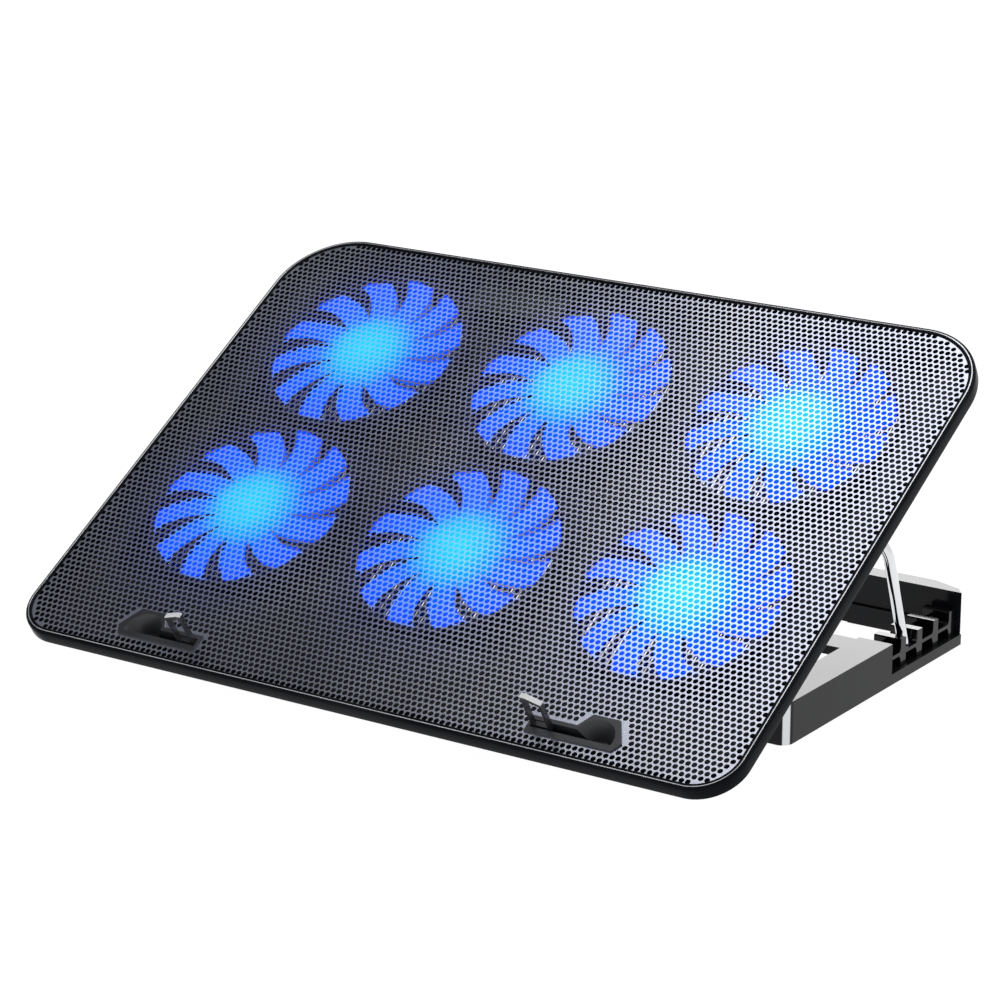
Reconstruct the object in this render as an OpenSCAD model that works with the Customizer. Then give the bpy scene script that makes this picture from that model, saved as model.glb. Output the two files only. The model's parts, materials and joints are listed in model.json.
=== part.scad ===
// Laptop cooling pad: a perforated tray with six lit fans, held on a low
// base frame by a bent wire leg whose feet drop into notched racks.
// Millimetres, +Z up, origin under the middle of the pad at table height.

/* [Tray] */
// Width of the tray from side to side
tray_w = 360; // [350:1:370]
// Depth of the tray from its front edge to its back edge
tray_d = 257.4; // [255:0.2:262]
// Tilt of the tray when the leg stands in the second notch, in degrees
tilt = 31; // [30:0.5:32]
// Height of the tray's front top edge above the table
front_z = 9.5; // [9:0.1:11]
// Height of the tray's outer rim
rim_h = 6.5; // [6:0.1:7]
// Width of the rim seen from above
rim_w = 3.2; // [2.5:0.1:4]
// Radius of the two back corners
back_r = 34; // [26:1:40]
// Radius of the two front corners
front_r = 20; // [14:1:26]
// Depth of the fan pan below the top edge
pan_depth = 15.5; // [15:0.1:17]

/* [Fans] */
// Diameter over the blade tips
fan_d = 90; // [80:1:91]
// Distance between fan centres from side to side
fan_pitch_x = 110; // [106:1:111]
// Distance between the two rows of fans
fan_pitch_s = 99.5; // [99:0.5:101]
// Distance from the tray's front edge to the front row
fan_row_s = 94.5; // [93:0.5:96]
// Number of blades on each fan
blades = 12; // [9:1:14]
// Angle of the blades against the fan's plane
blade_pitch = 14; // [10:1:18]
// Diameter of the fan hub
hub_d = 34; // [33:1:36]

/* [Laptop stops] */
// Distance of each stop's hinge from the middle of the tray
stop_x = 90; // [88:1:94]
// Height of a raised stop above the mesh
stop_h = 17; // [12:0.5:18]
// Width of a stop
stop_w = 9.2; // [8:0.1:9.4]
// Thickness of a stop
stop_t = 2.2; // [2:0.1:2.8]

/* [Base] */
// Width of the base over its side rails
base_w = 322.6; // [318:0.2:324]
// Distance from the tray's front edge to the front of the base
base_front_y = 80.5; // [78:0.5:84]
// Distance from the tray's front edge to the back of the base
base_back_y = 240; // [239:0.5:244]
// Width of a side rail
rail_w = 16; // [15.5:0.1:18]
// Height of the side rails
rail_h = 19; // [18.5:0.1:20]
// Height of the back bar
back_h = 24.5; // [22:0.1:26]
// Thickness of the rubber feet below the base
foot_drop = 0.8; // [0.5:0.1:1.2]

/* [Leg and racks] */
// Diameter of the leg's wire
wire_d = 4.8; // [4.4:0.1:5]
// Length of the leg from its hinge bar to its feet
leg_len = 81.6; // [81:0.1:82.4]
// Lean of the leg from upright, in degrees
leg_lean = 20; // [19:0.5:21]
// Distance between the two upright wires
leg_span = 310.4; // [309:0.2:310.4]
// Distance from one notch to the next
notch_pitch = 14.5; // [14:0.1:14.8]
// Height of the rack's teeth above the table
tooth_h = 17.2; // [16:0.1:18]

/* [Hidden] */
fan_names = [for (i = [1:6]) str("fan_rotor_", i)];
motor_names = [for (i = [1:6]) str("fan_motor_", i)];
$fn = 64;

nudge = 0.01;                       // overshoot of a cutting shape
run_gap = 0.05;                     // radial clearance of a turning fit
mid_y = base_back_y / 2;            // origin, measured from the tray's front edge

// Tray layers, as heights below the top edge of the rim
mesh_top = -0.6;
mesh_t = 1;
mesh_low = mesh_top - mesh_t;
mesh_inset = rim_w + 0.2;
ledge_inset = 7;
flange_t = 1.5;
flange_low = -rim_h - flange_t;
floor_t = 1.5;
floor_top = -pan_depth + floor_t;
pan_wall = 1.6;
pan_half = 160;
pan_s0 = 44;
pan_s1 = 250.6;
screw_r = 1.1;
screw_head_r = 2.2;
screw_inset = 4.4;

// Fans
fan_r = fan_d / 2;
hub_r = hub_d / 2;
duct_r = fan_r + 1;
duct_wall = 1.5;
duct_top = -3.6;
hub_top = -2.2;
hub_low = -11.4;
hub_skin = 1.5;
blade_t = 1.2;
blade_mid = -4.7;
blade_low = -7.2;
shaft_r = 1;
grille_r = duct_r - 0.3;
grille_hub = hub_r + 1;
grille_top = floor_top + 1.6;
grille_low = -pan_depth + 0.2;
slat_pitch = 4.4;
slat_w = 2;
wire_low = floor_top + 0.1;
wire_t = 1.4;
branch_x = -50.2;
fan_spots = [for (row = [1, 0], col = [-1:1])
    [col * fan_pitch_x, fan_row_s + row * fan_pitch_s]];

// Controls at the back of the pan
socket_w = 13.2;
socket_h = 5.6;
socket_len = 14;
socket_x = [-68, -42];
board_s = 231.5;
board_t = 1.6;
board_low = flange_low - 0.2;
switch_x = -55;
slot_w = 8;
slot_h = 3.2;
knob_w = 3;

// Laptop stops
stop_s = 13.5;                      // centre of a stop, from the front edge
stop_axis = -stop_w / 2;            // height of its hinge
stop_pin_r = 0.8;
stop_bar = 1.3;                      // width of the bars of its open frame
pocket_top = 0.2;
pocket_low = -10.8;
well_x = 114;
well_s = 13.4;

// Hinge between base and tray
hinge_s = 10;
hinge_n = 12;
hinge_r = 3.6;
hinge_pin_r = 1.5;
hinge_x = 60;
arm_w = 22;
lug_w = 9.2;
hinge_y = hinge_s * cos(tilt) + hinge_n * sin(tilt);
hinge_z = front_z + hinge_s * sin(tilt) - hinge_n * cos(tilt);

// Leg
wire_r = wire_d / 2;
leg_s = 178.5;
leg_n = pan_depth + wire_r + 1.6;
leg_y = leg_s * cos(tilt) + leg_n * sin(tilt);
leg_z = front_z + leg_s * sin(tilt) - leg_n * cos(tilt);
foot_y = leg_y + leg_len * sin(leg_lean);
foot_z = leg_z - leg_len * cos(leg_lean);
clip_x = 55;
clip_w = 14;
clip_r = wire_r + 1.5;
bar_half = 125;                     // where the hinge bar turns down
knee_up = 54;                       // height of the knee above the feet
knee_r = 14;
toe_r = 4;
toe_len = 6;

// Base
half_w = base_w / 2;
rail_in = half_w - rail_w;
step_y = 168.5;
low_wall_h = 5.5;
low_wall_t = 2;
back_y = base_back_y - 9.6;
cross_y = 152;
cross_d = 14;
cross_t = 4;

// Racks
rack_in = rail_in + 0.7;
rack_out = half_w - low_wall_t - 0.3;
tooth_mid = 10.6;                   // height of the ridge bar and of the teeth's noses
tooth_low = 2;
tooth_nose = 1.9;
nose_h = 3;
rest_gap = 0.1;                     // between a foot and the floor of its notch
face_gap = 3.94;                    // from a foot's middle to the tooth behind it
wire_front = (tooth_h - foot_z) * tan(leg_lean) + wire_r / cos(leg_lean);
tooth_t = notch_pitch - face_gap - wire_front - 0.25;
tooth_y = foot_y + face_gap - tooth_nose;    // nose of the tooth behind the leg's foot
tooth_steps = [-1:2];

// ---------- shared shapes ----------

// Moves a shape from the tray's own plane to its tilted place
module in_tray() {
    translate([0, -mid_y, front_z]) rotate([tilt, 0, 0]) children();
}

// Moves a shape drawn from the tray's front edge to the pad's origin
module in_base() {
    translate([0, -mid_y, 0]) children();
}

// The shape and its mirror image on the other side
module both_sides() {
    children();
    mirror([1, 0, 0]) children();
}

// Rectangle with round corners, its front edge on the X axis
module round_plate(w, d, rf, rb) {
    translate([-w / 2, rf]) square([w, d - rf - rb]);
    translate([-w / 2 + rf, 0]) square([w - 2 * rf, rf + 1]);
    translate([-w / 2 + rb, d - rb - 1]) square([w - 2 * rb, rb + 1]);
    for (side = [-1, 1]) {
        translate([side * (w / 2 - rf), rf]) circle(rf);
        translate([side * (w / 2 - rb), d - rb]) circle(rb);
    }
}

// The tray's outline, drawn in by a margin
module tray_outline(inset = 0) {
    translate([0, inset])
        round_plate(tray_w - 2 * inset, tray_d - 2 * inset, front_r - inset, back_r - inset);
}

// The pan's outline, drawn in by a margin
module pan_outline(inset = 0) {
    translate([0, pan_s0 + inset])
        round_plate(2 * (pan_half - inset), pan_s1 - pan_s0 - 2 * inset, 12 - inset, 12 - inset);
}

// A slab between two heights
module slab(low, high) {
    translate([0, 0, low]) linear_extrude(high - low) children();
}

// Puts a shape on every fan centre
module at_fans() {
    for (spot = fan_spots) translate([spot.x, spot.y, 0]) children();
}

// Places of the screws that hold the shell to the frame
function shell_screw_spots() = [
    for (x = [-150, -50, 50, 150]) [x, screw_inset],
    for (x = [-130, 0, 130]) [x, tray_d - screw_inset],
    for (side = [-1, 1], s = [70, 180]) [side * (tray_w / 2 - screw_inset), s]];

// Straight or bent wire in the XZ plane
module wire_run(a, b) {
    run = b - a;
    translate([a.x, 0, a.y]) rotate([0, atan2(run.x, run.y), 0]) cylinder(r = wire_r, h = norm(run));
}

// Bend between two runs, a hair thinner and reaching a little into both
module wire_bend(centre, r, from, sweep) {
    reach = 15 / r;
    translate([centre.x, 0, centre.y]) rotate([90, 0, 0]) rotate([0, 0, from - reach])
        rotate_extrude(angle = sweep + 2 * reach) translate([r, 0]) circle(wire_r - 0.02);
}

// ---------- tray ----------

module top_frame() {
    color("#1d1e21") in_tray() difference() {
        slab(-rim_h, 0) tray_outline();
        slab(mesh_low, nudge) tray_outline(rim_w);
        slab(-rim_h - nudge, mesh_low + nudge) tray_outline(ledge_inset);
        for (spot = shell_screw_spots())
            translate([spot.x, spot.y, -rim_h - nudge]) cylinder(r = screw_r, h = 3 + nudge);
    }
}

module mesh_panel() {
    color("#5d6068") in_tray() difference() {
        slab(mesh_low, mesh_top) tray_outline(mesh_inset);
        both_sides() slab(mesh_low - nudge, mesh_top + nudge) pocket_outline();
    }
}

module bottom_shell() {
    color("#151618") in_tray() difference() {
        union() {
            shell_skin();
            at_fans() duct();
            hinge_lugs();
            shell_posts();
        }
        both_sides() slab(flange_low - nudge, -rim_h + nudge) pocket_outline();
        harness(wire_t + 0.4, 0.3);
        for (x = socket_x) socket_block(x, socket_w, socket_h, pan_wall + 2);
        translate([switch_x - slot_w / 2, pan_s1 - pan_wall - nudge, floor_top + 1.4])
            cube([slot_w, pan_wall + 2 * nudge, slot_h]);
        translate([-80, pan_s1 + 0.4, flange_low - nudge]) cube([50, 20, flange_t + 2 * nudge]);
        for (spot = shell_screw_spots())
            translate([spot.x, spot.y, flange_low - nudge]) cylinder(r = screw_r, h = flange_t + 2 * nudge);
        clip_screw_holes();
    }
}

// Flange and pan, with a round air inlet under each fan
module shell_skin() {
    difference() {
        union() {
            slab(flange_low, -rim_h) tray_outline(2);
            slab(-pan_depth, -rim_h) pan_outline();
        }
        slab(floor_top, -rim_h + nudge) pan_outline(pan_wall);
        at_fans() slab(-pan_depth - nudge, floor_top + nudge) circle(duct_r);
    }
}

// Ring around one fan, with a lip that its grille stands on
module duct() {
    difference() {
        slab(-pan_depth, duct_top) circle(duct_r + duct_wall);
        slab(grille_low, duct_top + nudge) circle(duct_r);
        slab(-pan_depth - nudge, grille_low + nudge) circle(duct_r - 1.2);
    }
}

// Lugs that the tray turns on, under its front flange
module hinge_lugs() {
    both_sides() translate([hinge_x - lug_w / 2, hinge_s, 0]) rotate([90, 0, 90])
        difference() {
            union() {
                translate([-hinge_r, -hinge_n, 0]) cube([2 * hinge_r, hinge_n + flange_low + 0.5, lug_w]);
                translate([0, -hinge_n, 0]) cylinder(r = hinge_r, h = lug_w);
            }
            translate([0, -hinge_n, -nudge]) cylinder(r = hinge_pin_r + run_gap, h = lug_w + 2 * nudge);
        }
}

// Posts inside the pan for the leg clips and the control board
module shell_posts() {
    both_sides() for (ds = [-8, 8])
        translate([clip_x, leg_s + ds, floor_top - nudge]) cylinder(r = 3, h = 6);
    for (x = [-78, -32])
        translate([x, board_s + 5, floor_top - nudge]) cylinder(r = 2, h = board_low - floor_top + nudge);
}

module clip_screw_holes() {
    both_sides() for (ds = [-8, 8])
        translate([clip_x, leg_s + ds, -pan_depth - nudge]) cylinder(r = screw_r, h = 6);
}

module shell_screws() {
    color("#8d8f92") in_tray() for (spot = shell_screw_spots())
        translate([spot.x, spot.y, 0]) screw(flange_low, flange_t + 3);
}

// Pan-head screw driven upwards, its head under the given height
module screw(seat, grip) {
    difference() {
        union() {
            translate([0, 0, seat - 1.2]) cylinder(r = screw_head_r, h = 1.2);
            translate([0, 0, seat - nudge]) cylinder(r = screw_r, h = grip - 0.2);
        }
        for (turn = [0, 90]) rotate(turn)
            translate([-1.2, -0.25, seat - 1.2 - nudge]) cube([2.4, 0.5, 0.6]);
    }
}

// ---------- fans ----------

// Angle of a blade's middle line at a share of the tip radius
function sweep_at(share) = 13.7 + 5 * (share - 0.5) + 40 * pow(share - 0.5, 2);

// Angle left open between two blades at a share of the tip radius
function gap_at(share) = max(0.8, 11.4 * (1 - pow((1 - share) / 0.53, 2)));

// Half the angle that one blade covers
function half_at(share) = (360 / blades - gap_at(share) * 12 / blades) / 2;

// Outline of one blade, up one edge and down the other
function blade_outline() =
    let (root = (hub_r - 0.6) / fan_r, steps = 8,
         shares = [for (i = [0:steps]) root + (1 - root) * i / steps])
    concat(
        [for (u = shares) fan_r * u * [cos(sweep_at(u) - half_at(u)), sin(sweep_at(u) - half_at(u))]],
        [for (i = [1:3]) let (a = sweep_at(1) + half_at(1) * (i / 2 - 1)) fan_r * [cos(a), sin(a)]],
        [for (i = [steps:-1:0]) let (u = shares[i])
            fan_r * u * [cos(sweep_at(u) + half_at(u)), sin(sweep_at(u) + half_at(u))]]);

module blade() {
    intersection() {
        slab(blade_low, hub_top - 0.3) polygon(blade_outline());
        rotate(sweep_at(0.8)) translate([fan_r / 2 + 5, 0, blade_mid]) rotate([blade_pitch, 0, 0])
            cube([fan_r + 20, 40, blade_t], center = true);
    }
}

module fan_rotor(i) {
    spot = fan_spots[i - 1];
    color("#3f9bff") in_tray() translate([spot.x, spot.y, 0]) {
        difference() {
            slab(hub_low, hub_top) circle(hub_r);
            slab(hub_low - nudge, hub_top - hub_skin) circle(hub_r - hub_skin);
        }
        slab(floor_top + 0.8, hub_top - hub_skin + nudge) circle(shaft_r);
        for (turn = [0:blades - 1]) rotate(turn * 360 / blades) blade();
    }
}

module fan_motor(i) {
    spot = fan_spots[i - 1];
    color("#23262b") in_tray() translate([spot.x, spot.y, 0]) difference() {
        union() {
            slab(floor_top, floor_top + 1) circle(14.4);
            slab(floor_top, -6) circle(4);
            slab(floor_top + 1.8, -6.4) difference() {
                circle(12.6);
                for (turn = [0:3]) rotate(turn * 90 + 45) translate([9, 0]) circle(3);
            }
        }
        slab(floor_top + 0.4, -6 + nudge) circle(shaft_r + run_gap);
    }
}

// Slatted inlet of one fan, deep enough to hide what is below; its middle carries the motor
module fan_grille() {
    difference() {
        slab(grille_low, grille_top) circle(grille_r);
        slab(grille_low - nudge, grille_top + nudge) difference() {
            intersection() {
                circle(grille_r - 1.6);
                for (k = [-10:10]) translate([k * slat_pitch - (slat_pitch - slat_w) / 2, -fan_r])
                    square([slat_pitch - slat_w, 2 * fan_r]);
            }
            circle(grille_hub);
            translate([-fan_r, -1]) square([2 * fan_r, 2]);
        }
        slab(floor_top, grille_top + nudge) circle(grille_hub - 1.5);
    }
}

module fan_grilles() {
    color("#17181a") in_tray() difference() {
        at_fans() fan_grille();
        harness(wire_t + 0.4, 0.3);
    }
}

module fan_leds() {
    color("#8fe6ff") in_tray() at_fans() for (turn = [0:3]) rotate(turn * 90)
        translate([9, 0, -6.4]) cylinder(r = 1.5, h = 1.2);
}

// Cable channels: one trunk between the rows, a branch to each fan and one to the board
module harness(size, side) {
    row_gap = fan_row_s + fan_pitch_s / 2;
    translate([-fan_pitch_x - size / 2, row_gap - size / 2, wire_low])
        cube([2 * fan_pitch_x + size, size, size]);
    for (col = [-1:1]) translate([col * fan_pitch_x - size / 2, fan_row_s + 14.8 - side, wire_low])
        cube([size, fan_pitch_s - 29.6 + 2 * side, size]);
    translate([branch_x - size / 2, row_gap, wire_low]) cube([size, 90, size]);
}

module fan_wiring() {
    color("#2b2b2e") in_tray() harness(wire_t, 0);
}

// ---------- controls ----------

module socket_block(x, w, h, reach) {
    translate([x - w / 2, pan_s1 - reach, board_low - h - nudge]) cube([w, reach + 0.3, h + nudge]);
}

module control_board() {
    color("#1f6b3a") in_tray() translate([-80, board_s, board_low])
        cube([50, pan_s1 - pan_wall - 0.2 - board_s, board_t]);
}

module usb_sockets() {
    color("#b9bcc0") in_tray() for (x = socket_x) difference() {
        translate([x - socket_w / 2, pan_s1 - socket_len, board_low - socket_h])
            cube([socket_w, socket_len + 0.3, socket_h]);
        translate([x - socket_w / 2 + 0.5, pan_s1 - 11, board_low - socket_h + 0.5])
            cube([socket_w - 1, 12, 2.1]);
        translate([x - socket_w / 2 + 0.5, pan_s1 - 11, board_low - 1.4])
            cube([socket_w - 1, 12, 0.9]);
        for (side = [-1, 1]) translate([x + side * (socket_w / 2 - 0.75) - 0.25, pan_s1 - 11, board_low - socket_h + 2])
            cube([0.5, 12, 3]);
    }
}

module switch_body() {
    color("#101114") in_tray() difference() {
        translate([switch_x - 5.5, pan_s1 - 9, floor_top + 0.2]) cube([11, 7.2, board_low - floor_top - 0.2]);
        translate([switch_x - slot_w / 2, pan_s1 - 6, floor_top + 1.4]) cube([slot_w, 5, slot_h]);
    }
}

module switch_knob() {
    color("#c9ccd0") in_tray()
        translate([switch_x - slot_w / 2 + 0.4, pan_s1 - 5.6, floor_top + 1.7]) cube([knob_w, 7, slot_h - 0.6]);
}

// ---------- laptop stops ----------

// Outline of the right-hand pocket's bezel, seen from above
module pocket_outline() {
    polygon([[83.6, 9], [124.4, 9], [127, 13.6], [121, 24.2], [108.4, 24.2], [104.4, 17.4], [83.6, 17.4]]);
}

module stop_pocket() {
    in_tray() difference() {
        slab(pocket_low, pocket_top) pocket_outline();
        translate([stop_x - stop_w / 2 - 0.5, 11.6, -stop_w - 0.5]) cube([26, 3.8, stop_w + 2]);
        intersection() {
            translate([well_x, well_s, -7]) cylinder(r1 = 4.5, r2 = 9.2, h = 7.4);
            translate([100, 11.6, -9]) cube([30, 20, 12]);
        }
        translate([stop_x, 10.2, stop_axis]) rotate([-90, 0, 0]) cylinder(r = stop_pin_r, h = 6.6);
    }
}

module stop_pocket_right() {
    color("#1b1c1f") stop_pocket();
}

module stop_pocket_left() {
    color("#1b1c1f") mirror([1, 0, 0]) stop_pocket();
}

module stop_pin() {
    in_tray() translate([stop_x, 10.2, stop_axis]) rotate([-90, 0, 0]) cylinder(r = stop_pin_r, h = 6.6);
}

module stop_pin_right() {
    color("#a9abae") stop_pin();
}

module stop_pin_left() {
    color("#a9abae") mirror([1, 0, 0]) stop_pin();
}

// A raised stop: an open frame with a round heel about its hinge
module stop_flap() {
    half = stop_w / 2;
    in_tray() translate([stop_x, stop_s + stop_t / 2, 0]) rotate([90, 0, 0]) linear_extrude(stop_t)
        difference() {
            union() {
                translate([0, stop_axis]) circle(half);
                polygon([[-half, stop_axis], [half, stop_axis], [half, stop_h - 2.6],
                         [-half + 2.2, stop_h], [-half, stop_h]]);
            }
            polygon([[-half + stop_bar, 0.6], [half - stop_bar, 0.6],
                     [half - stop_bar, stop_h - 4], [-half + stop_bar, stop_h - 1.9]]);
            translate([0, stop_axis]) circle(stop_pin_r + run_gap);
        }
}

module stop_right() {
    color("#26272b") stop_flap();
}

module stop_left() {
    color("#26272b") mirror([1, 0, 0]) stop_flap();
}

// ---------- leg ----------

module leg_clips() {
    color("#1b1c1f") in_tray() both_sides() translate([clip_x, leg_s, 0]) difference() {
        union() {
            translate([-clip_w / 2, -11, -pan_depth - 3]) cube([clip_w, 22, 3]);
            translate([-clip_w / 2, -clip_r, -leg_n]) cube([clip_w, 2 * clip_r, leg_n - pan_depth - 1]);
            translate([-clip_w / 2, 0, -leg_n]) rotate([0, 90, 0]) cylinder(r = clip_r, h = clip_w);
        }
        translate([-clip_w / 2 - nudge, 0, -leg_n]) rotate([0, 90, 0])
            cylinder(r = wire_r + run_gap, h = clip_w + 2 * nudge);
        for (ds = [-8, 8]) translate([0, ds, -pan_depth - 3 - nudge]) cylinder(r = screw_r, h = 3 + 2 * nudge);
    }
}

module clip_screws() {
    color("#8d8f92") in_tray() both_sides() for (ds = [-8, 8])
        translate([clip_x, leg_s + ds, 0]) screw(-pan_depth - 3, 8.8);
}

// Half of the wire leg in the XZ plane, its hinge bar on the X axis
module half_leg() {
    side_x = leg_span / 2;
    knee = [side_x, knee_up - leg_len];
    shoulder = [bar_half, 0];
    slope = atan2(knee.x - shoulder.x, shoulder.y - knee.y);      // slant from upright
    knee_cut = knee_r * tan(slope / 2);
    shoulder_cut = knee_r * tan((90 - slope) / 2);
    along = (shoulder - knee) / norm(shoulder - knee);
    wire_run([0, 0], [shoulder.x - shoulder_cut, 0]);
    wire_bend([shoulder.x - shoulder_cut, -knee_r], knee_r, slope, 90 - slope);
    wire_run(shoulder - along * shoulder_cut, knee + along * knee_cut);
    wire_bend([side_x - knee_r, knee.y - knee_cut], knee_r, 0, slope);
    wire_run([side_x, knee.y - knee_cut], [side_x, toe_r - leg_len]);
    wire_bend([side_x - toe_r, toe_r - leg_len], toe_r, -90, 90);
    wire_run([side_x - toe_r, -leg_len], [side_x - toe_len, -leg_len]);
}

module support_leg() {
    color("#d9dbde") in_base() translate([0, leg_y, leg_z]) rotate([leg_lean, 0, 0]) both_sides() half_leg();
}

// ---------- base ----------

// One side rail: a tall front box, then a low wall beside the rack
module rail() {
    corner = 5;
    slab(foot_drop, rail_h) {
        translate([rail_in, base_front_y + corner]) square([rail_w, step_y - base_front_y - corner]);
        translate([rail_in, base_front_y]) square([rail_w - corner, corner + 1]);
        translate([half_w - corner, base_front_y + corner]) circle(corner);
    }
    translate([half_w - low_wall_t, step_y - 1, foot_drop])
        cube([low_wall_t, back_y - step_y + 2, low_wall_h - foot_drop]);
    translate([rail_in, step_y - 1, foot_drop]) cube([7, back_y - step_y + 2, tooth_low - foot_drop]);
    slab(foot_drop, low_wall_h)
        polygon([[rail_in + 0.5, back_y - 6], [rail_in + 0.5, back_y + 1], [rail_in - 17, back_y + 1], [rail_in - 14, back_y - 1]]);
}

// Back bar with cut corners
module back_bar() {
    slab(foot_drop, back_h)
        polygon([for (side = [1, -1]) each let (pts = [[half_w, back_y], [half_w - 3.8, back_y + 4.6],
            [half_w - 17.8, base_back_y]]) side == 1 ? pts : [for (i = [2:-1:0]) [-pts[i].x, pts[i].y]]]);
    translate([-rail_in, back_y - 1.6, 8.4]) cube([2 * rail_in, 2, 1.6]);
}

// Fork that reaches forward under the tray to carry one hinge pin
module hinge_arm() {
    difference() {
        union() {
            translate([hinge_x - arm_w / 2, hinge_y, hinge_z - hinge_r + 0.6])
                cube([arm_w, base_front_y - hinge_y + 1, 2 * hinge_r - 1.2]);
            translate([hinge_x - arm_w / 2, hinge_y, hinge_z]) rotate([0, 90, 0]) cylinder(r = hinge_r, h = arm_w);
        }
        translate([hinge_x - lug_w / 2 - 0.4, hinge_y - hinge_r - 1, hinge_z - hinge_r - 1])
            cube([lug_w + 0.8, 2 * hinge_r + 1.8, 2 * hinge_r + 2]);
        translate([hinge_x - arm_w / 2 - nudge, hinge_y, hinge_z]) rotate([0, 90, 0])
            cylinder(r = hinge_pin_r, h = arm_w + 2 * nudge);
    }
}

module base_frame() {
    color("#3b3d41") in_base() difference() {
        union() {
            both_sides() {
                rail();
                hinge_arm();
            }
            translate([-rail_in - 1, base_front_y, foot_drop]) cube([2 * rail_in + 2, 14, rail_h - foot_drop]);
            translate([-rail_in - 1, cross_y, rail_h - cross_t]) cube([2 * rail_in + 2, cross_d, cross_t]);
            back_bar();
        }
        feet(nudge);
    }
}

// Rubber pads, half sunk in the underside
module feet(grow) {
    both_sides() {
        translate([rail_in + 2, base_front_y + 8, -grow]) cube([rail_w - 4, 26, 2 * foot_drop + grow]);
        translate([rail_in - 40, back_y + 1.2, -grow]) cube([36, 7, 2 * foot_drop + grow]);
    }
}

module base_feet() {
    color("#0e0e10") in_base() feet(0);
}

module hinge_pins() {
    color("#a9abae") in_base() both_sides() translate([hinge_x - arm_w / 2, hinge_y, hinge_z])
        rotate([0, 90, 0]) cylinder(r = hinge_pin_r, h = arm_w);
}

// Side view of one tooth: upright, with a curved nose that points forward
module tooth_profile() {
    nose = [for (u = [-1:0.2:1]) [tooth_nose * sin(90 * abs(u)), tooth_mid + nose_h * u]];
    polygon(concat(
        [[tooth_nose, tooth_low]], nose, [[tooth_nose, tooth_h - 0.6], [tooth_nose + 0.4, tooth_h]],
        [[tooth_nose + tooth_t, tooth_h], [tooth_nose + tooth_t, tooth_low]]));
}

module notch_rack() {
    in_base() {
        for (step = tooth_steps)
            translate([rack_in, tooth_y + step * notch_pitch, 0]) rotate([90, 0, 90])
                linear_extrude(rack_out - rack_in) tooth_profile();
        translate([rack_in, step_y, tooth_low]) cube([1.3, back_y - step_y, tooth_mid - 0.4]);
        translate([rack_in, step_y, tooth_low])
            cube([rack_out - rack_in, back_y - step_y, foot_z - wire_r - rest_gap - tooth_low]);
        translate([rack_out - 1.2, step_y, tooth_mid - 0.4]) cube([1.2, back_y - step_y, 1.5]);
    }
}

module notch_rack_right() {
    color("#0d0e10") notch_rack();
}

module notch_rack_left() {
    color("#0d0e10") mirror([1, 0, 0]) notch_rack();
}

// ---------- the pad ----------

top_frame();
mesh_panel();
bottom_shell();
shell_screws();
for (i = [1:6]) {
    fan_rotor(i);
    fan_motor(i);
}
fan_grilles();
fan_leds();
fan_wiring();
control_board();
usb_sockets();
switch_body();
switch_knob();
stop_pocket_left();
stop_pocket_right();
stop_pin_left();
stop_pin_right();
stop_left();
stop_right();
leg_clips();
clip_screws();
support_leg();
base_frame();
notch_rack_left();
notch_rack_right();
base_feet();
hinge_pins();
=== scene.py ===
"""Looks for the laptop cooling pad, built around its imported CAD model. Metres, in the CAD's frame."""
import json
import math

import bpy
import numpy as np
from mathutils import Matrix, Vector
from mathutils.geometry import delaunay_2d_cdt


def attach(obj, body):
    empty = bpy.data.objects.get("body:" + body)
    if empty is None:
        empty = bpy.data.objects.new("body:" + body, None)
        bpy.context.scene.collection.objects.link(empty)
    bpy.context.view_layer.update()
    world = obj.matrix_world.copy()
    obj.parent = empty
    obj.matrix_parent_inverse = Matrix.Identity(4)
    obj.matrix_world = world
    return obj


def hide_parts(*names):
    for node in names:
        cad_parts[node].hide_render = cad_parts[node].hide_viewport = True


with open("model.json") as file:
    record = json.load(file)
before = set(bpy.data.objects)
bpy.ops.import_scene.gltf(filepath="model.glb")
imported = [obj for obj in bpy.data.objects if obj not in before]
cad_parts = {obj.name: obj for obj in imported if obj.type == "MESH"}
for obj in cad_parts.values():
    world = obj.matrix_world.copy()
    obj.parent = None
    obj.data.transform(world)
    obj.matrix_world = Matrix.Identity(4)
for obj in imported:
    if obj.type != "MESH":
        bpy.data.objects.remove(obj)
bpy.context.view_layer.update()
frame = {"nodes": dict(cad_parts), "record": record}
nodes = frame["nodes"]
MM = 0.001

# ---------- sizes, in mm and degrees ----------

TRAY_W, TRAY_D = 360.0, 257.4
BACK_R, FRONT_R = 34.0, 20.0                  # the tray's corners
TILT = math.radians(31)
X_AXIS = (1, 0, 0)
ALONG = Vector((0, math.cos(TILT), math.sin(TILT)))      # up the slope
NORMAL = Vector((0, -math.sin(TILT), math.cos(TILT)))    # out of the tray's top
FRONT_EDGE = Vector((0, -120, 9.5))           # the tray's front top edge

FAN_R = 45.0
FAN_PITCH = (110.0, 99.5)                     # across, and up the slope
FAN_ROW = 94.5                                # the front row's place up the slope
BLADES = 12
BLADE_SWEEP = (13.7, 5, 40)                   # a blade's middle line: angle, and its change with reach
WIDEST_GAP, LEAST_GAP = 11.4, 0.8             # between two blades, at their tips and at the hub
GAP_REACH = 0.53                              # how far inwards the gap narrows, in fan radii
HUB_FADE = (19, 23)                           # the hub's edge
PAINTED_GLOW_SHIFT = (3.0, -2.9)                      # where the blades' painted glow lies on the sheet above them
SHEET_PAINTED_GLOW_R, ROTOR_PAINTED_GLOW_R = 80, 60           # the radius at which each painted glow's ramp ends

STOP_TOP = FRONT_EDGE.dot(NORMAL) + 17.0      # the raised stops' top edge
STOP_FLAT = 87.6                              # how far across that edge begins to fall
STOP_FALL = 0.371                             # its fall for each mm across
CORNER = (156.3, -34.5)                       # middle of the base's rounded front corner
HIGHLIGHT_BAND = (29, 33, 66, 72)                       # angles from the front where the corner's painted highlight band fades in and out
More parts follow.
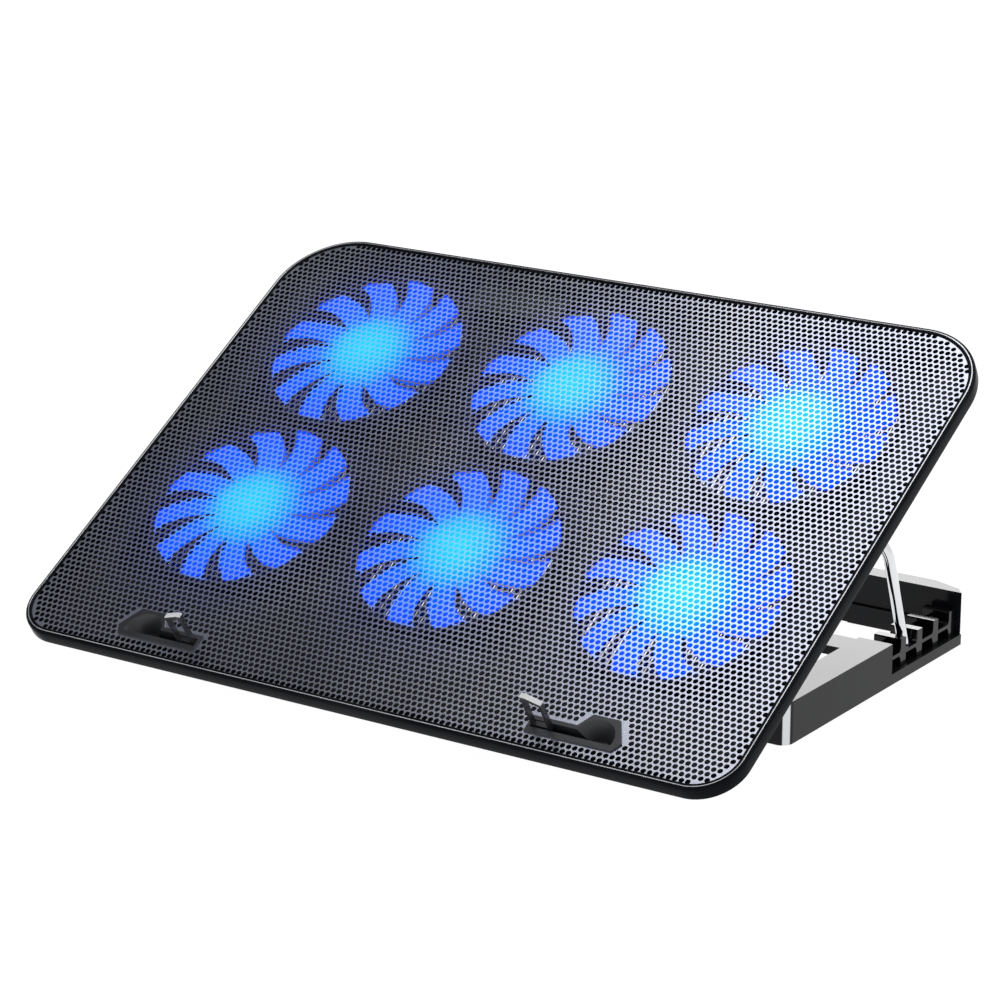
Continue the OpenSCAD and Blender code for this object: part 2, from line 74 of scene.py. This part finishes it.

# The sheet's holes stand in staggered rows, in six-sided cells
HOLE_PITCH, ROW_PITCH, HOLE_R = 2.865, 2.768, 1.2
CELL_REACH = 1.76                             # from a cell's middle to its furthest corner, and a hair
COLUMNS, ROWS = 63, 46                        # cells to each side of the tray's middle
SHEET_TOP, SHEET_T = -0.6, 0.25               # its height against the rim, and its thickness
SHEET_INSET, PLAIN_EDGE = 1.75, 0.42          # its edge inside the tray's, and the margin without holes
EDGE_SLACK = 0.4                              # how far a cell may run into that margin

# The rim's profile, as (inset from the outline, height), from the outer foot round to the underside
RIM = [(0.5, -6.5), (0.12, -6.3), (0, -5.9), (0, -1.5), (0.06, -1.0), (0.25, -0.55), (0.6, -0.2), (1.0, -0.06),
       (1.25, -0.12), (1.4, -0.4), (1.55, -0.42), (1.7, -0.14), (1.95, 0), (2.45, 0), (2.8, -0.12), (3.05, -0.4),
       (3.2, -0.8), (3.2, -1.6), (7, -1.6), (7, -6.5)]
GROOVE = (8, 9, 10)                           # steps of the profile that make the groove, which is given bright metal as a painted highlight line
RIM_STEPS = 28                                # steps round each of the rim's corners


def tray_point(x, s, n):
    """A place on the tray in mm (across, up the slope, above the rim) as a point in metres."""
    return (FRONT_EDGE + Vector((x, 0, 0)) + ALONG * s + NORMAL * n) * MM


def outline(inset, steps=20):
    """The tray's outline, drawn in by inset, counter-clockwise in mm."""
    half = TRAY_W / 2
    corners = [(half - FRONT_R, FRONT_R, FRONT_R, -90), (half - BACK_R, TRAY_D - BACK_R, BACK_R, 0),
               (BACK_R - half, TRAY_D - BACK_R, BACK_R, 90), (FRONT_R - half, FRONT_R, FRONT_R, 180)]
    points = []
    for cx, cy, r, start in corners:
        for i in range(steps + 1):
            a = math.radians(start + 90 * i / steps)
            points.append((cx + (r - inset) * math.cos(a), cy + (r - inset) * math.sin(a)))
    return points


def pocket_outline(side):
    """A stop pocket's outline, counter-clockwise in mm. side is 1 on the right, -1 on the left."""
    points = [(83.6, 9), (124.4, 9), (127, 13.6), (121, 24.2), (108.4, 24.2), (104.4, 17.4), (83.6, 17.4)]
    return points if side > 0 else [(-x, y) for x, y in reversed(points)]


# ---------- node helpers ----------

class Graph:
    """A material's nodes, with short names for the few kinds used here."""

    def __init__(self, material):
        """material is a new material's name, or a material to add to."""
        if isinstance(material, str):
            material = bpy.data.materials.new(material)
            material.use_nodes = True
        self.material = material
        self.tree = material.node_tree
        self.shader = self.tree.nodes["Principled BSDF"]

    def link(self, value, socket):
        if isinstance(value, bpy.types.NodeSocket):
            self.tree.links.new(value, socket)
        else:
            socket.default_value = value

    def math(self, op, *args):
        n = self.tree.nodes.new("ShaderNodeMath")
        n.operation = op
        for i, a in enumerate(args):
            self.link(a, n.inputs[i])
        return n.outputs[0]

    def dot(self, a, vector):
        n = self.tree.nodes.new("ShaderNodeVectorMath")
        n.operation = "DOT_PRODUCT"
        self.link(a, n.inputs[0])
        n.inputs[1].default_value = vector
        return n.outputs["Value"]

    def coords(self):
        return self.tree.nodes.new("ShaderNodeTexCoord").outputs["Object"]

    def along(self, p, axis):
        """How far a point lies along an axis, in mm."""
        return self.math("MULTIPLY", self.dot(p, tuple(axis)), 1000)

    def scaled(self, vector, scale):
        n = self.tree.nodes.new("ShaderNodeMapping")
        self.link(vector, n.inputs["Vector"])
        n.inputs["Scale"].default_value = scale
        return n.outputs[0]

    def noise(self, vector, scale, detail=2.0):
        n = self.tree.nodes.new("ShaderNodeTexNoise")
        self.link(vector, n.inputs["Vector"])
        n.inputs["Scale"].default_value = scale
        n.inputs["Detail"].default_value = detail
        return n.outputs["Fac"]

    def spread(self, value, low, high, to_low, to_high):
        """value from low to high becomes to_low to to_high, and stays there beyond."""
        n = self.tree.nodes.new("ShaderNodeMapRange")
        for socket, v in zip(n.inputs, (value, low, high, to_low, to_high)):
            self.link(v, socket)
        return n.outputs[0]

    def mix(self, fac, a, b):
        n = self.tree.nodes.new("ShaderNodeMix")
        n.data_type = "RGBA"
        self.link(fac, n.inputs[0])
        self.link(a if isinstance(a, bpy.types.NodeSocket) else (*a, 1), n.inputs[6])
        self.link(b if isinstance(b, bpy.types.NodeSocket) else (*b, 1), n.inputs[7])
        return n.outputs[2]

    def ramp(self, fac, stops):
        n = self.tree.nodes.new("ShaderNodeValToRGB")
        self.link(fac, n.inputs[0])
        elements = n.color_ramp.elements
        while len(elements) < len(stops):
            elements.new(0.5)
        for e, (pos, colour) in zip(elements, stops):
            e.position = pos
            e.color = (*colour, 1)
        return n.outputs[0]

    def bump(self, height, distance):
        n = self.tree.nodes.new("ShaderNodeBump")
        n.inputs["Strength"].default_value = 1.0
        n.inputs["Distance"].default_value = distance
        self.link(height, n.inputs["Height"])
        self.link(n.outputs[0], self.shader.inputs["Normal"])

    def set(self, **values):
        for name, value in values.items():
            socket = self.shader.inputs[name.replace("_", " ")]
            if isinstance(value, tuple) and len(value) == 3:
                value = (*value, 1)
            self.link(value, socket)


def moulded(name, colour, rough, grain=0.00003, grain_size=0.0006, spec=0.5, spread=0.06):
    """Moulded plastic: fine grain, slow change of gloss and a little change of colour."""
    g = Graph(name)
    p = g.coords()
    slow = g.noise(p, 28, 3)
    fine = g.noise(p, 1 / grain_size, 2)
    light = tuple(min(1, c * 1.35 + 0.004) for c in colour)
    g.set(Base_Color=g.mix(g.spread(slow, 0.3, 0.7, 0, 1), colour, light),
          Roughness=g.math("ADD", g.spread(slow, 0.3, 0.7, rough - spread, rough + spread),
                           g.spread(fine, 0.3, 0.7, -0.03, 0.03)),
          Specular_IOR_Level=spec)
    g.bump(fine, grain)
    return g.material


def metal(name, colour, rough, stretch=(1, 1, 1), scratch=0.000004, spread=0.05):
    """Plated or brushed metal: streaks in the gloss and faint scratches."""
    g = Graph(name)
    p = g.coords()
    streak = g.noise(g.scaled(p, stretch), 900, 3)
    slow = g.noise(p, 40, 2)
    dark = tuple(c * 0.86 for c in colour)
    g.set(Base_Color=g.mix(g.spread(slow, 0.3, 0.7, 0, 1), dark, colour), Metallic=1.0,
          Roughness=g.math("ADD", g.spread(streak, 0.3, 0.7, rough - spread, rough + spread),
                           g.spread(slow, 0.3, 0.7, -0.02, 0.03)))
    g.bump(streak, scratch)
    return g.material


def fan_place(g, p, shift=(0.0, 0.0)):
    """Distance in mm from the nearest fan's centre, and the angle about it in degrees."""
    def from_nearest(value, pitch, first):
        nearest = g.math("ROUND", g.math("DIVIDE", value, pitch))
        nearest = g.math("MINIMUM", g.math("MAXIMUM", nearest, first), 1)
        return g.math("SUBTRACT", value, g.math("MULTIPLY", nearest, pitch))

    x = g.math("SUBTRACT", g.along(p, X_AXIS), shift[0])
    s = g.math("SUBTRACT", g.along(p, ALONG), FRONT_EDGE.dot(ALONG) + FAN_ROW + shift[1])
    dx = from_nearest(x, FAN_PITCH[0], -1)
    ds = from_nearest(s, FAN_PITCH[1], 0)
    r = g.math("SQRT", g.math("ADD", g.math("MULTIPLY", dx, dx), g.math("MULTIPLY", ds, ds)))
    angle = g.math("MULTIPLY", g.math("ARCTAN2", ds, dx), 180 / math.pi)
    return r, angle


def blade_mask(g, r, angle):
    """1 over a blade or the hub, 0 between blades and beyond their tips, with soft edges. It shapes the glow
    painted on the sheet.
    """
    u = g.math("SUBTRACT", g.math("DIVIDE", r, FAN_R), 0.5)
    start, slope, curve = BLADE_SWEEP
    centre = g.math("ADD", g.math("ADD", start, g.math("MULTIPLY", u, slope)),
                    g.math("MULTIPLY", g.math("MULTIPLY", u, u), curve))
    pitch = 360 / BLADES
    turned = g.math("ADD", g.math("SUBTRACT", angle, centre), pitch / 2)
    off = g.math("ABSOLUTE", g.math("SUBTRACT", g.math("FLOORED_MODULO", turned, pitch), pitch / 2))
    w = g.math("DIVIDE", g.math("SUBTRACT", 0.5, u), GAP_REACH)
    gap = g.math("MULTIPLY", g.math("SUBTRACT", 1, g.math("MULTIPLY", w, w)), WIDEST_GAP)
    half = g.math("MULTIPLY", g.math("SUBTRACT", pitch, g.math("MAXIMUM", gap, LEAST_GAP)), 0.5)
    arc = g.math("MULTIPLY", g.math("MULTIPLY", g.math("SUBTRACT", half, off), r), math.pi / 180)
    side = g.spread(arc, -0.5, 0.5, 0, 1)
    tip = g.spread(r, FAN_R - 0.5, FAN_R + 0.5, 1, 0)
    hub = g.spread(r, *HUB_FADE, 1, 0)
    return g.math("MULTIPLY", g.math("MAXIMUM", side, hub), tip)


def mesh_metal():
    """Satin painted sheet, with the fans' light painted on it: an emitted blue glow over the blades and a dim
    halo round each fan.
    """
    g = Graph("mesh_metal")
    p = g.coords()
    fine = g.noise(p, 2600, 2)
    slow = g.noise(p, 22, 3)
    # Painted light: the fans' light on the sheet is emitted as a blue glow over the blades and a dim halo round
    # each fan
    r, angle = fan_place(g, p, PAINTED_GLOW_SHIFT)
    painted_glow_mask = blade_mask(g, r, angle)
    share = g.math("DIVIDE", r, SHEET_PAINTED_GLOW_R)
    painted_glow = g.ramp(share, [(0.0, (0.03, 0.62, 0.95)), (0.165, (0.03, 0.55, 0.95)), (0.315, (0.035, 0.25, 0.92)),
                          (0.585, (0.045, 0.17, 0.85))])
    painted_halo = g.ramp(share, [(0.0, (0.0, 0.1, 0.3)), (0.34, (0.004, 0.02, 0.17)), (0.6, (0.003, 0.012, 0.08)),
                          (0.8, (0.001, 0.004, 0.03)), (1.0, (0, 0, 0.004))])
    g.set(Base_Color=g.mix(g.spread(slow, 0.3, 0.7, 0, 1), (0.4, 0.42, 0.49), (0.48, 0.5, 0.57)), Metallic=0.9,
          Roughness=g.math("ADD", g.spread(fine, 0.3, 0.7, 0.19, 0.27), g.spread(slow, 0.3, 0.7, -0.02, 0.04)),
          Emission_Color=g.mix(painted_glow_mask, painted_halo, painted_glow), Emission_Strength=0.8)
    g.bump(fine, 0.000008)
    return g.material


def rotor_plastic():
    """Clear blue plastic with a painted glow, emitted brightest at the hub, in place of the hub lights' light."""
    g = Graph("rotor_plastic")
    p = g.coords()
    fine = g.noise(p, 700, 2)
    slow = g.noise(p, 60, 2)
    # Painted glow: emission that fades from the hub outwards stands in for the hub lights' light in the blades
    r, angle = fan_place(g, p)
    painted_glow = g.ramp(g.math("DIVIDE", r, ROTOR_PAINTED_GLOW_R), [(0.0, (0.02, 0.62, 1.0)), (0.2, (0.01, 0.46, 1.0)),
                                                      (0.4, (0.0, 0.09, 1.0)), (0.75, (0.0, 0.05, 0.95))])
    shade = g.spread(slow, 0.3, 0.7, 0.92, 1.08)
    level = g.tree.nodes.new("ShaderNodeVectorMath")
    level.operation = "SCALE"
    g.link(painted_glow, level.inputs[0])
    g.link(shade, level.inputs["Scale"])
    g.set(Base_Color=(0.0, 0.03, 0.3), Specular_IOR_Level=0.2, Roughness=g.spread(fine, 0.3, 0.7, 0.25, 0.4),
          Emission_Color=level.outputs[0], Emission_Strength=1.1)
    g.bump(fine, 0.00001)
    return g.material


def base_plastic():
    """Glossy dark plastic with a bright metallic band on each rounded front corner, a painted highlight."""
    g = Graph(moulded("base_plastic", (0.005, 0.0055, 0.0065), 0.16, 0.00001, spec=0.14, spread=0.03))
    p = g.coords()
    # Painted highlight: a bright metallic band round each front corner
    across = g.math("SUBTRACT", g.math("ABSOLUTE", g.along(p, X_AXIS)), CORNER[0])
    ahead = g.math("SUBTRACT", CORNER[1], g.along(p, (0, 1, 0)))
    angle = g.math("MULTIPLY", g.math("ARCTAN2", across, ahead), 180 / math.pi)
    highlight_band = g.math("MULTIPLY", g.spread(angle, *HIGHLIGHT_BAND[:2], 0, 1), g.spread(angle, *HIGHLIGHT_BAND[2:], 1, 0))
    highlight_band = g.math("MULTIPLY", highlight_band, g.math("GREATER_THAN", g.math("MINIMUM", across, ahead), 0.5))
    colour = g.shader.inputs["Base Color"].links[0].from_socket
    g.set(Base_Color=g.mix(highlight_band, colour, (0.62, 0.64, 0.65)), Metallic=highlight_band)
    return g.material


def stop_plastic():
    """Dark plastic with a pale band along each stop's top edge, a painted highlight."""
    g = Graph("stop_plastic")
    p = g.coords()
    fine = g.noise(p, 1600, 2)
    slow = g.noise(p, 90, 2)
    # Painted highlight: a pale band along the stops' top edge
    across = g.math("ABSOLUTE", g.along(p, X_AXIS))
    fallen = g.math("MULTIPLY", g.math("MAXIMUM", g.math("SUBTRACT", across, STOP_FLAT), 0), STOP_FALL)
    height = g.math("ADD", g.along(p, NORMAL), fallen)
    top_highlight = g.spread(height, STOP_TOP - 0.5, STOP_TOP - 0.3, 0, 1)
    dark = g.mix(g.spread(slow, 0.3, 0.7, 0, 1), (0.01, 0.01, 0.012), (0.016, 0.016, 0.018))
    g.set(Base_Color=g.mix(top_highlight, dark, (0.72, 0.73, 0.74)), Specular_IOR_Level=0.5,
          Roughness=g.math("ADD", g.spread(fine, 0.3, 0.7, 0.2, 0.3), g.math("MULTIPLY", top_highlight, 0.2)))
    g.bump(fine, 0.00002)
    return g.material


def led_lens():
    """Lit lens of the lights round each hub."""
    g = Graph(moulded("led_lens", (0.3, 0.85, 1.0), 0.15))
    g.set(Emission_Color=(0.1, 0.7, 1.0), Emission_Strength=2.0)
    return g.material


# ---------- meshes ----------

def new_piece(name, verts, faces, body, material, smooth_angle=None):
    mesh = bpy.data.meshes.new(name)
    mesh.from_pydata(verts, [], faces)
    mesh.validate()
    mesh.update()
    o = bpy.data.objects.new(name, mesh)
    bpy.context.scene.collection.objects.link(o)
    mesh.materials.append(material)
    if smooth_angle:
        smooth(o, smooth_angle)
    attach(o, body)
    return o


def smooth(o, angle):
    """Smooth shading with sharp edges kept above an angle in degrees."""
    mesh = o.data
    mesh.polygons.foreach_set("use_smooth", [True] * len(mesh.polygons))
    mesh.set_sharp_from_angle(angle=math.radians(angle))


def bevelled(o, width):
    """Rounds the hard edges of a CAD node with a modifier."""
    m = o.modifiers.new("edge", "BEVEL")
    m.width = width
    m.segments = 2
    m.limit_method = "ANGLE"
    m.angle_limit = math.radians(40)
    m.use_clamp_overlap = True
    m.harden_normals = True


def inside(points, x, y):
    """Whether (x, y) arrays lie inside a polygon."""
    hit = np.zeros(len(x), bool)
    for (x1, y1), (x2, y2) in zip(points, points[1:] + points[:1]):
        crosses = (y1 > y) != (y2 > y)
        with np.errstate(divide="ignore", invalid="ignore"):
            at = (x2 - x1) * (y - y1) / (y2 - y1 if y2 != y1 else 1) + x1
        hit ^= crosses & (x < at)
    return hit


def away_from(points, x, y):
    """Distance from (x, y) arrays to a polygon's edge."""
    best = np.full(len(x), 1e9)
    for (x1, y1), (x2, y2) in zip(points, points[1:] + points[:1]):
        dx, dy = x2 - x1, y2 - y1
        size = dx * dx + dy * dy
        t = np.clip(((x - x1) * dx + (y - y1) * dy) / max(size, 1e-9), 0, 1)
        best = np.minimum(best, np.hypot(x - x1 - t * dx, y - y1 - t * dy))
    return best


def cell_x(i, j):
    """Where the middle of cell i in row j lies across the tray. Every second row is shifted by half a cell."""
    return (i + 0.5 * (j % 2)) * HOLE_PITCH


def nearest_cell(x, y):
    """The column and row of the cell whose middle lies nearest to a point."""
    column, row = math.floor(x / HOLE_PITCH), round((y - TRAY_D / 2) / ROW_PITCH)
    near = [(i, j) for j in range(row - 1, row + 2) for i in range(column - 1, column + 3)]
    return min(near, key=lambda c: math.hypot(x - cell_x(*c), y - TRAY_D / 2 - c[1] * ROW_PITCH))


def loop_edges(ids):
    """The edges of a closed loop of vertices."""
    return list(zip(ids, ids[1:] + ids[:1]))


def open_edges(edges):
    """The edges, in order, that no neighbour runs through the other way."""
    left = {}
    for a, b in edges:
        if not left.pop((b, a), False):
            left[(a, b)] = True
    return left


def perforated_sheet(material):
    """The tray's sheet with every hole cut through it, as one closed mesh."""
    edge = outline(SHEET_INSET)
    pockets = [pocket_outline(side) for side in (1, -1)]
    i, j = np.meshgrid(np.arange(-COLUMNS, COLUMNS + 1), np.arange(-ROWS, ROWS + 1))
    i, j = i.ravel(), j.ravel()
    cx, cy = cell_x(i, j), TRAY_D / 2 + j * ROW_PITCH
    keep = inside(edge, cx, cy) & (away_from(edge, cx, cy) > CELL_REACH + PLAIN_EDGE - EDGE_SLACK)
    for pocket in pockets:
        keep &= ~inside(pocket, cx, cy) & (away_from(pocket, cx, cy) > CELL_REACH)
    cx, cy, i, j = cx[keep], cy[keep], i[keep], j[keep]
    cells = set(zip(i.tolist(), j.tolist()))

    # A cell's six corners, where three cells meet, with the middles of its sides, and its hole
    low = (ROW_PITCH ** 2 - HOLE_PITCH ** 2 / 4) / (2 * ROW_PITCH)
    high = (ROW_PITCH ** 2 + HOLE_PITCH ** 2 / 4) / (2 * ROW_PITCH)
    corners = [(HOLE_PITCH / 2, -low), (HOLE_PITCH / 2, low), (0, high),
               (-HOLE_PITCH / 2, low), (-HOLE_PITCH / 2, -low), (0, -high)]
    cell = [p for a, b in loop_edges(corners) for p in (a, ((a[0] + b[0]) / 2, (a[1] + b[1]) / 2))]
    hole = [(HOLE_R * x / math.hypot(x, y), HOLE_R * y / math.hypot(x, y)) for x, y in cell]
    flat, index, top, walls, sides = [], {}, [], [], []

    def vertex(x, y):
        key = (round(x, 3), round(y, 3))
        if key not in index:
            index[key] = len(flat)
            flat.append((x, y))
        return index[key]

    for x, y in zip(cx.tolist(), cy.tolist()):
        outer = [vertex(x + dx, y + dy) for dx, dy in cell]
        base = len(flat)
        flat.extend((x + dx, y + dy) for dx, dy in hole)
        for k in range(len(cell)):
            m = (k + 1) % len(cell)
            top.append((outer[k], outer[m], base + m, base + k))
            walls.append((base + k, base + m))
            sides.append((outer[k], outer[m]))

    # The plain margin between the holes and the sheet's edges
    fixed = list(open_edges(sides))
    for loop in [edge] + pockets:
        ids = [vertex(x, y) for x, y in loop]
        fixed += loop_edges([a for a, b in loop_edges(ids) if a != b])
    used = sorted({v for e in fixed for v in e})
    local = {v: n for n, v in enumerate(used)}
    tri_verts, _, tris, from_verts, _, _ = delaunay_2d_cdt(
        [Vector(flat[v]) for v in used], [(local[a], local[b]) for a, b in fixed], [], 0, 1e-5)
    names = [used[o[0]] if o else None for o in from_verts]
    for n, v in enumerate(tri_verts):
        if names[n] is None:
            names[n] = len(flat)
            flat.append((v.x, v.y))
    centres = np.array([np.mean([flat[names[v]] for v in t], 0) for t in tris])
    good = inside(edge, centres[:, 0], centres[:, 1])
    for pocket in pockets:
        good &= ~inside(pocket, centres[:, 0], centres[:, 1])
    margin = []
    for t, (x, y), ok in zip(tris, centres, good):
        if ok and nearest_cell(x, y) not in cells:
            face = [names[v] for v in t]
            (ax, ay), (bx, by), (dx, dy) = (flat[v] for v in face)
            if (bx - ax) * (dy - ay) - (by - ay) * (dx - ax) < 0:
                face.reverse()
            margin.append(tuple(face))

    # The underside, the holes' walls, and the walls round the sheet and the pockets
    count = len(flat)
    verts = [tray_point(x, y, h) for h in (SHEET_TOP, SHEET_TOP - SHEET_T) for x, y in flat]
    faces = top + margin + [tuple(v + count for v in reversed(f)) for f in top + margin]
    hole_edges = {(b, a) for a, b in walls} | set(walls)
    walls += [e for e in open_edges(e for f in margin + top for e in loop_edges(f)) if e not in hole_edges]
    faces += [(b, a, a + count, b + count) for a, b in walls]
    return new_piece("mesh_sheet", verts, faces, "tray", material)


def rim_piece(material, highlight_metal):
    """The tray's rim: a rounded outer edge, a fine groove and a bead beside the sheet."""
    rings = [outline(d, RIM_STEPS) for d, _ in RIM]
    count = len(rings[0])
    verts = [tray_point(x, y, h) for ring, (_, h) in zip(rings, RIM) for x, y in ring]
    faces = []
    for k in range(len(RIM)):
        m = (k + 1) % len(RIM)
        for i in range(count):
            j = (i + 1) % count
            faces.append((k * count + i, k * count + j, m * count + j, m * count + i))
    piece = new_piece("rim", verts, faces, "tray", material, 35)
    piece.data.materials.append(highlight_metal)
    for face in piece.data.polygons:
        if face.index // count in GROOVE:
            face.material_index = 1
    return piece


# ---------- materials ----------

look = {
    "rim_plastic": moulded("rim_plastic", (0.004, 0.0045, 0.006), 0.25, spec=0.02),
    "mesh_metal": mesh_metal(),
    "shell_plastic": moulded("shell_plastic", (0.005, 0.005, 0.007), 0.5, 0.00005, spec=0.3),
    "screw_steel": metal("screw_steel", (0.55, 0.56, 0.57), 0.28),
    "rotor_plastic": rotor_plastic(),
    "motor_plastic": moulded("motor_plastic", (0.006, 0.006, 0.009), 0.45, spec=0.3),
    "led_lens": led_lens(),
    "wire_jacket": moulded("wire_jacket", (0.02, 0.02, 0.02), 0.55),
    "circuit_board": moulded("circuit_board", (0.003, 0.012, 0.007), 0.35),
    "socket_steel": metal("socket_steel", (0.62, 0.63, 0.64), 0.25, (1, 8, 1)),
    "knob_plastic": moulded("knob_plastic", (0.5, 0.51, 0.52), 0.4),
    "pocket_plastic": moulded("pocket_plastic", (0.022, 0.023, 0.027), 0.35),
    "stop_plastic": stop_plastic(),
    "leg_chrome": metal("leg_chrome", (0.78, 0.79, 0.8), 0.07, (1, 1, 6), 0.000001, 0.02),
    "base_plastic": base_plastic(),
    "rack_plastic": moulded("rack_plastic", (0.002, 0.002, 0.0024), 0.1, 0.000008, spec=0.25, spread=0.03),
    "foot_rubber": moulded("foot_rubber", (0.012, 0.012, 0.013), 0.75, 0.00006),
}

slots = {row["node"]: row["material_slot"] for row in frame["record"]["subparts"]}
for name, o in nodes.items():
    o.data.materials.clear()
    o.data.materials.append(look[slots[name]])

# ---------- pieces ----------

sheet = perforated_sheet(look["mesh_metal"])
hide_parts("mesh_panel")
# The groove's bright metal is a painted highlight line along the rim
rim = rim_piece(look["rim_plastic"], metal("rim_highlight_metal", (0.8, 0.81, 0.84), 0.25))
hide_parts("top_frame")

for name, width in (("base_frame", 0.0006), ("bottom_shell", 0.0004), ("notch_rack_left", 0.0003),
                    ("notch_rack_right", 0.0003), ("stop_pocket_left", 0.0003), ("stop_pocket_right", 0.0003),
                    ("stop_left", 0.00035), ("stop_right", 0.00035), ("leg_clips", 0.0004), ("base_feet", 0.0003),
                    ("usb_sockets", 0.0002), ("switch_body", 0.0002), ("switch_knob", 0.0003),
                    ("control_board", 0.0002)):
    bevelled(nodes[name], width)

# Thickens the guards' slats by a hair, so that the floor doesn't show between them
swell = nodes["fan_grilles"].modifiers.new("swell", "DISPLACE")
swell.mid_level = 0
swell.strength = 0.0004

# ---------- stage ----------

FLOOR_HALF, FLOOR_DROP = 12.0, 0.0002     # half the floor's side, and how far it lies below the feet
CAMERA_AT = (0.81175, -1.19424, 0.50568)
AZIMUTH, ELEVATION, LENS = math.radians(34.34), math.radians(16.92), 127.19
SKY_LOW, SKY_HIGH = (0.95, 0.95, 0.97, 1), (0.17, 0.17, 0.18, 1)


def add(name, data):
    """A new object in the scene."""
    o = bpy.data.objects.new(name, data)
    bpy.context.scene.collection.objects.link(o)
    return o


def white_floor():
    """A floor that is nearly white by its own light, and throws little of the lamps' light back up."""
    h = FLOOR_HALF
    mesh = bpy.data.meshes.new("floor")
    mesh.from_pydata([(-h, -h, 0), (h, -h, 0), (h, h, 0), (-h, h, 0)], [], [(0, 1, 2, 3)])
    g = Graph("floor_white")
    g.set(Base_Color=(0.1, 0.1, 0.1), Roughness=1.0, Specular_IOR_Level=0.0, Emission_Color=(1, 1, 1),
          Emission_Strength=0.98)
    mesh.materials.append(g.material)
    floor = add("floor", mesh)
    floor.location = (0, 0, -FLOOR_DROP)


def sky():
    """Soft light from all round, bright low down and dim overhead."""
    world = bpy.data.worlds.new("studio")
    bpy.context.scene.world = world
    world.use_nodes = True
    t = world.node_tree
    where = t.nodes.new("ShaderNodeTexCoord")
    split = t.nodes.new("ShaderNodeSeparateXYZ")
    ramp = t.nodes.new("ShaderNodeValToRGB")
    for element, position, colour in zip(ramp.color_ramp.elements, (0.3, 0.62), (SKY_LOW, SKY_HIGH)):
        element.position = position
        element.color = colour
    t.links.new(where.outputs["Generated"], split.inputs[0])
    t.links.new(split.outputs["Z"], ramp.inputs[0])
    t.links.new(ramp.outputs[0], t.nodes["Background"].inputs[0])


def area_light(name, place, target, size, power):
    light = bpy.data.lights.new(name, "AREA")
    light.shape = "RECTANGLE"
    light.size, light.size_y = size
    light.energy = power
    o = add(name, light)
    o.location = place
    o.rotation_euler = (Vector(target) - Vector(place)).to_track_quat("-Z", "Y").to_euler()


def camera():
    """Looks down at the tray from its front right."""
    right = Vector((math.cos(AZIMUTH), math.sin(AZIMUTH), 0))
    level = Vector((math.sin(AZIMUTH), -math.cos(AZIMUTH), 0))
    back = level * math.cos(ELEVATION) + Vector((0, 0, math.sin(ELEVATION)))
    up = back.cross(right)
    cam = bpy.data.cameras.new("camera")
    cam.sensor_width = 36
    cam.lens = LENS
    cam.clip_start, cam.clip_end = 0.01, 60
    o = add("camera", cam)
    o.matrix_world = Matrix.Translation(CAMERA_AT) @ Matrix((right, up, back)).transposed().to_4x4()
    bpy.context.scene.camera = o


camera()
white_floor()
sky()
area_light("sky_box", (0.335, 0.62, 1.05), (0.335, 0.62, 0.0), (1.7, 1.45), 16)
area_light("rear_card", (-1.3, 2.0, 0.75), (0, 0.1, 0), (1.6, 0.9), 21)
bpy.context.scene.view_settings.view_transform = "Standard"
